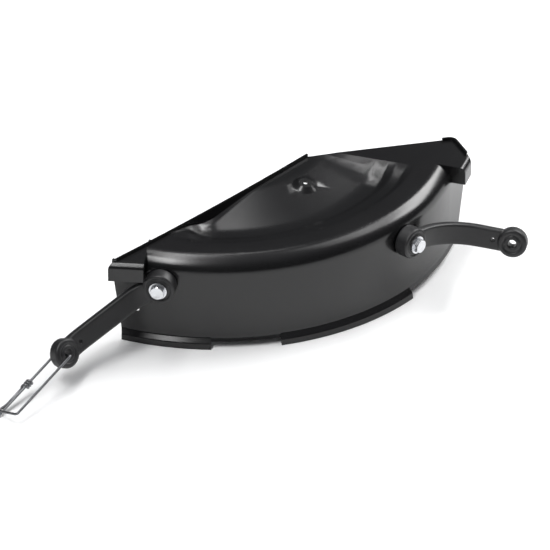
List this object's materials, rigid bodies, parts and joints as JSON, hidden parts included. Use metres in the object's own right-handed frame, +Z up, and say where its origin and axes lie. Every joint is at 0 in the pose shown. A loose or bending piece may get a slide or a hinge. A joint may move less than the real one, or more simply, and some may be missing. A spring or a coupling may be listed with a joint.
{
  "type": "mower deck mulch cover",
  "caption": "Curved black steel cover that closes a mower deck's side discharge, with rubber latch straps and a wire hook.",
  "frame": {"origin": "On the floor plane, under the middle of the whole part's bounding box.", "axes": "+Z is up, -Y is the curved front of the cover that faces away from the deck, and +X runs along its length to the right seen from the front."},
  "size_m": [0.5776, 0.204, 0.1028],
  "materials": {
    "black_coated_steel": "smooth gloss black powder coat on stamped sheet steel",
    "black_rubber": "compression-moulded black rubber, satin",
    "zinc_plated_steel": "bright zinc plate on cold-headed steel",
    "drawn_steel_wire": "drawn bright spring wire"
  },
  "bodies": {
    "cover": {"cover_shell": "black_coated_steel", "left_pivot_bolt": "zinc_plated_steel", "left_pivot_sleeve": "zinc_plated_steel", "left_backing_washer": "zinc_plated_steel", "left_lock_nut": "zinc_plated_steel", "right_pivot_bolt": "zinc_plated_steel", "right_pivot_sleeve": "zinc_plated_steel", "right_backing_washer": "zinc_plated_steel", "right_lock_nut": "zinc_plated_steel"},
    "left_latch": {"left_strap": "black_rubber"},
    "right_latch": {"right_strap": "black_rubber"},
    "hook": {"left_wire_hook": "drawn_steel_wire"}
  },
  "joints": [
    {"name": "left_strap_pivot", "type": "hinge", "parent": "cover", "child": "left_latch", "pos_m": [-0.08096, 0.02434, 0.07276], "axis": [-0.7373, -0.6756, 0], "range_deg": [-10, 63]},
    {"name": "right_strap_pivot", "type": "hinge", "parent": "cover", "child": "right_latch", "pos_m": [0.16191, -0.04598, 0.07276], "axis": [0.2622, -0.965, 0], "range_deg": [-78, 60]},
    {"name": "hook_pivot", "type": "hinge", "parent": "left_latch", "child": "hook", "pos_m": [-0.20232, 0.01843, 0.03467], "axis": [0.1572, -0.9117, 0.3796], "range_deg": [-90, 90]}
  ]
}
